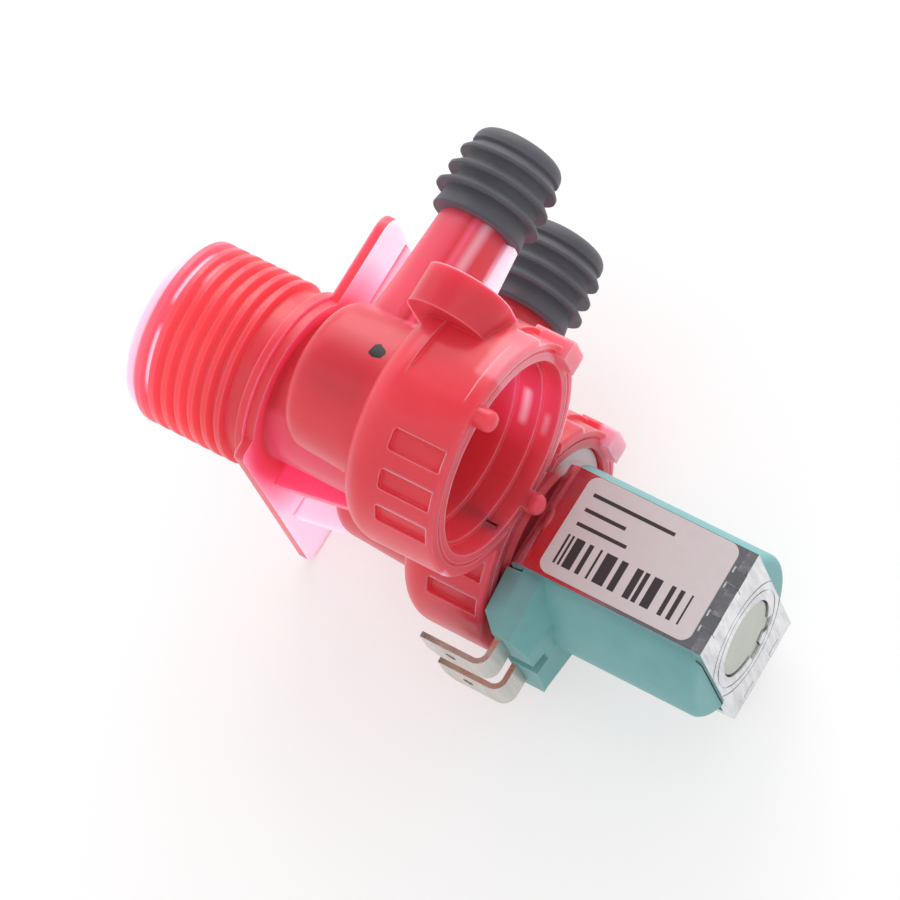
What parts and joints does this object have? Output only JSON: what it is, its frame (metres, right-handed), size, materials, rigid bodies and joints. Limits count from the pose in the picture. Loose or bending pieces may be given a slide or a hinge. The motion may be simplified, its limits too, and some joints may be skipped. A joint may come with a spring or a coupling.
{
  "type": "washing machine inlet valve",
  "caption": "Translucent red water inlet valve with a threaded hose inlet, mounting flange, solenoid in a steel yoke, blank spare chamber and plug-in outlets with lipped rubber seals",
  "frame": {"origin": "on the inlet axis, in the plane of the flange face that lies against the appliance cabinet", "axes": "+X runs along the inlet from the hose thread towards the solenoid, +Y is the way both outlets point, +Z is the side with the blank chamber and the label"},
  "size_m": [0.0895, 0.0617, 0.0665],
  "materials": {
    "body_plastic": "translucent red moulding, smooth, slightly cloudy",
    "seal_rubber": "dark grey moulded rubber, satin",
    "strainer_plastic": "off-white moulded strainer",
    "washer_rubber": "soft black rubber",
    "guide_plastic": "natural greenish-grey moulding",
    "insert_plastic": "white moulded insert",
    "core_steel": "turned stainless steel",
    "spring_steel": "drawn stainless wire",
    "yoke_steel": "zinc plated sheet steel, bright",
    "bobbin_plastic": "teal moulded spool",
    "winding_copper": "enamelled copper wire",
    "coil_plastic": "teal glass-filled encapsulation, satin",
    "tab_metal": "tinned brass with bare cut edges",
    "label_film": "blank off-white printed film"
  },
  "bodies": {
    "valve": {"valve_body": "body_plastic", "outlet_seal_near": "seal_rubber", "outlet_seal_far": "seal_rubber", "inlet_strainer": "strainer_plastic", "flow_washer": "washer_rubber", "guide_tube": "guide_plastic", "diaphragm": "seal_rubber", "plunger_spring": "spring_steel", "yoke_frame": "yoke_steel", "yoke_end_plate": "yoke_steel", "flux_sleeve_front": "yoke_steel", "flux_sleeve_rear": "yoke_steel", "coil_bobbin": "bobbin_plastic", "coil_winding": "winding_copper", "coil_overmould": "coil_plastic", "terminal_1": "tab_metal", "terminal_2": "tab_metal", "label": "label_film"},
    "armature": {"plunger": "core_steel", "plunger_tip_seal": "seal_rubber"},
    "pilot": {"diaphragm_insert": "insert_plastic"}
  },
  "joints": [
    {"name": "plunger_slide", "type": "slide", "parent": "valve", "child": "armature", "axis": [1, 0, 0], "range_m": [0, 0.0025], "stiffness_N_per_m": 150, "springref_m": -0.004, "deforming": ["plunger_spring"]},
    {"name": "diaphragm_lift", "type": "slide", "parent": "valve", "child": "pilot", "axis": [1, 0, 0], "range_m": [0, 0.002], "deforming": ["diaphragm"]}
  ],
  "couplings": [
    {"joint": "diaphragm_lift", "follows": "plunger_slide", "ratio": 0.8}
  ]
}
